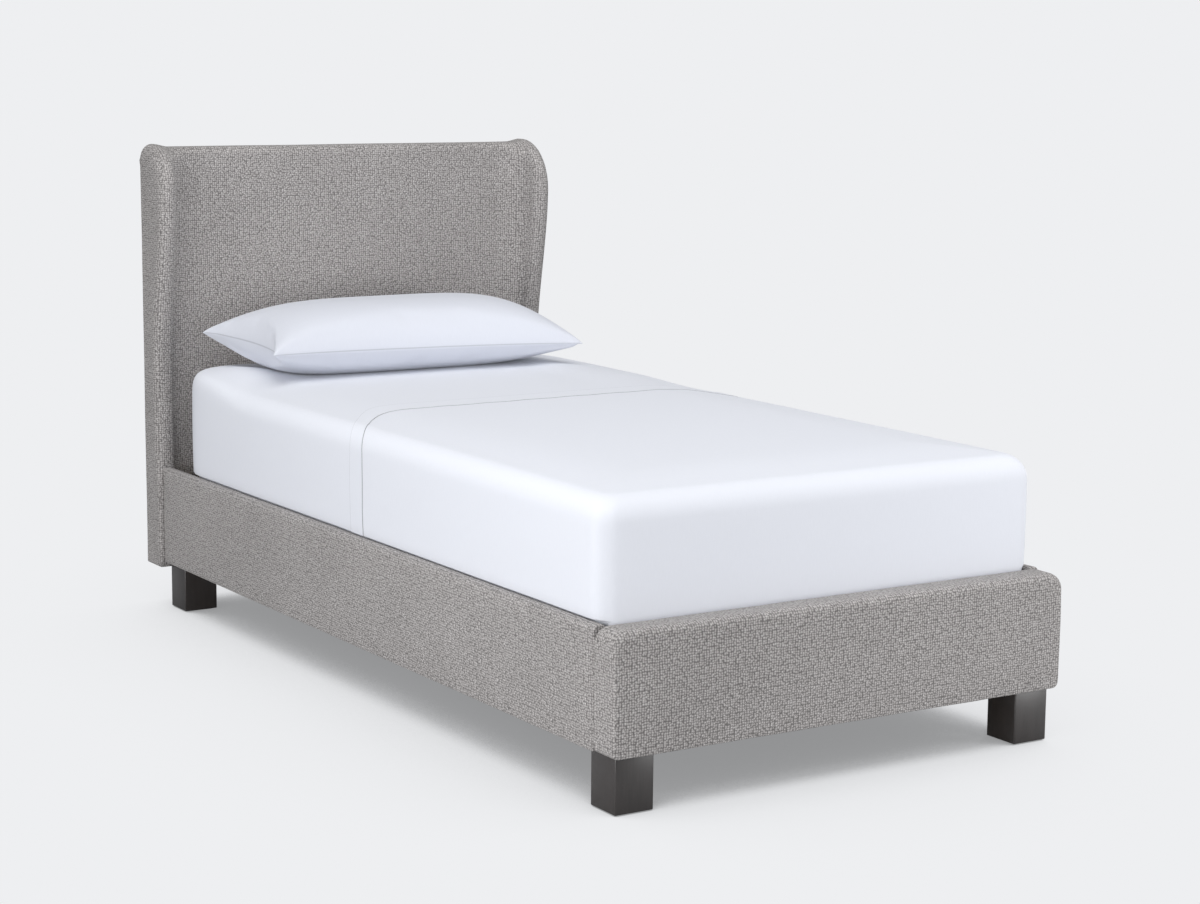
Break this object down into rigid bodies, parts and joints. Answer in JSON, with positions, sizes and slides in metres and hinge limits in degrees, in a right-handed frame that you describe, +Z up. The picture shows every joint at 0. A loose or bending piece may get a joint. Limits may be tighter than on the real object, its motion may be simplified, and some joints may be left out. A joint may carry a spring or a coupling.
{
  "type": "upholstered bed",
  "caption": "Upholstered single bed with a winged headboard, padded side rails and footboard on block legs, slatted, with mattress, sheets and pillow.",
  "frame": {"origin": "on the floor, under the middle of the whole bed's bounding box", "axes": "+X across the bed to the right seen from the foot end, +Y along the bed from the footboard to the headboard, +Z up"},
  "size_m": [1.044, 2.05, 1.0829],
  "materials": {
    "tweed": "heathered nubby weave, matt",
    "lining": "thin black dust cloth",
    "foam": "open-cell foam",
    "timber": "planed softwood, unfinished",
    "plywood": "birch plywood",
    "steel": "zinc plated",
    "leg": "dark espresso stain, satin",
    "glide": "black plastic",
    "mattress": "quilted ticking",
    "bed_linen": "white percale",
    "pillow": "cotton ticking"
  },
  "bodies": {
    "frame": {"headboard_left_post": "timber", "headboard_right_post": "timber", "headboard_top_rail": "timber", "headboard_base_rail": "timber", "headboard_plywood": "plywood", "headboard_foam": "foam", "headboard_front_cover": "tweed", "headboard_back_cloth": "lining", "left_wing_board": "timber", "right_wing_board": "timber", "left_wing_foam": "foam", "right_wing_foam": "foam", "left_wing_cover": "tweed", "right_wing_cover": "tweed", "left_rail_board": "timber", "right_rail_board": "timber", "left_rail_foam": "foam", "right_rail_foam": "foam", "left_rail_cover": "tweed", "right_rail_cover": "tweed", "left_slat_ledger": "timber", "right_slat_ledger": "timber", "footboard_front_board": "plywood", "footboard_back_board": "plywood", "footboard_top_board": "timber", "footboard_bottom_board": "timber", "footboard_end_blocks": "timber", "footboard_foam": "foam", "footboard_cover": "tweed", "rail_brackets": "steel", "bracket_bolts": "steel", "leg_blocks": "timber", "front_left_leg": "leg", "front_right_leg": "leg", "back_left_leg": "leg", "back_right_leg": "leg", "leg_plates": "steel", "leg_bolts": "steel", "leg_glides": "glide", "slat_01": "timber", "slat_02": "timber", "slat_03": "timber", "slat_04": "timber", "slat_05": "timber", "slat_06": "timber", "slat_07": "timber", "slat_08": "timber", "slat_09": "timber", "slat_10": "timber", "slat_11": "timber", "slat_screws": "steel", "centre_beam": "timber", "beam_hangers": "steel", "centre_leg": "timber"},
    "mattress": {"mattress": "mattress", "fitted_sheet": "bed_linen", "flat_sheet": "bed_linen"},
    "pillow": {"pillow": "pillow", "pillowcase": "bed_linen"},
    "levelling_foot": {"centre_foot": "glide"}
  },
  "joints": [
    {"name": "mattress_lift", "type": "slide", "parent": "frame", "child": "mattress", "axis": [0, 0, 1], "range_m": [0, 0.8]},
    {"name": "pillow_lift", "type": "slide", "parent": "mattress", "child": "pillow", "axis": [0, 0, 1], "range_m": [0, 0.35]},
    {"name": "foot_adjust", "type": "slide", "parent": "frame", "child": "levelling_foot", "axis": [0, 0, 1], "range_m": [0, 0.015]}
  ]
}
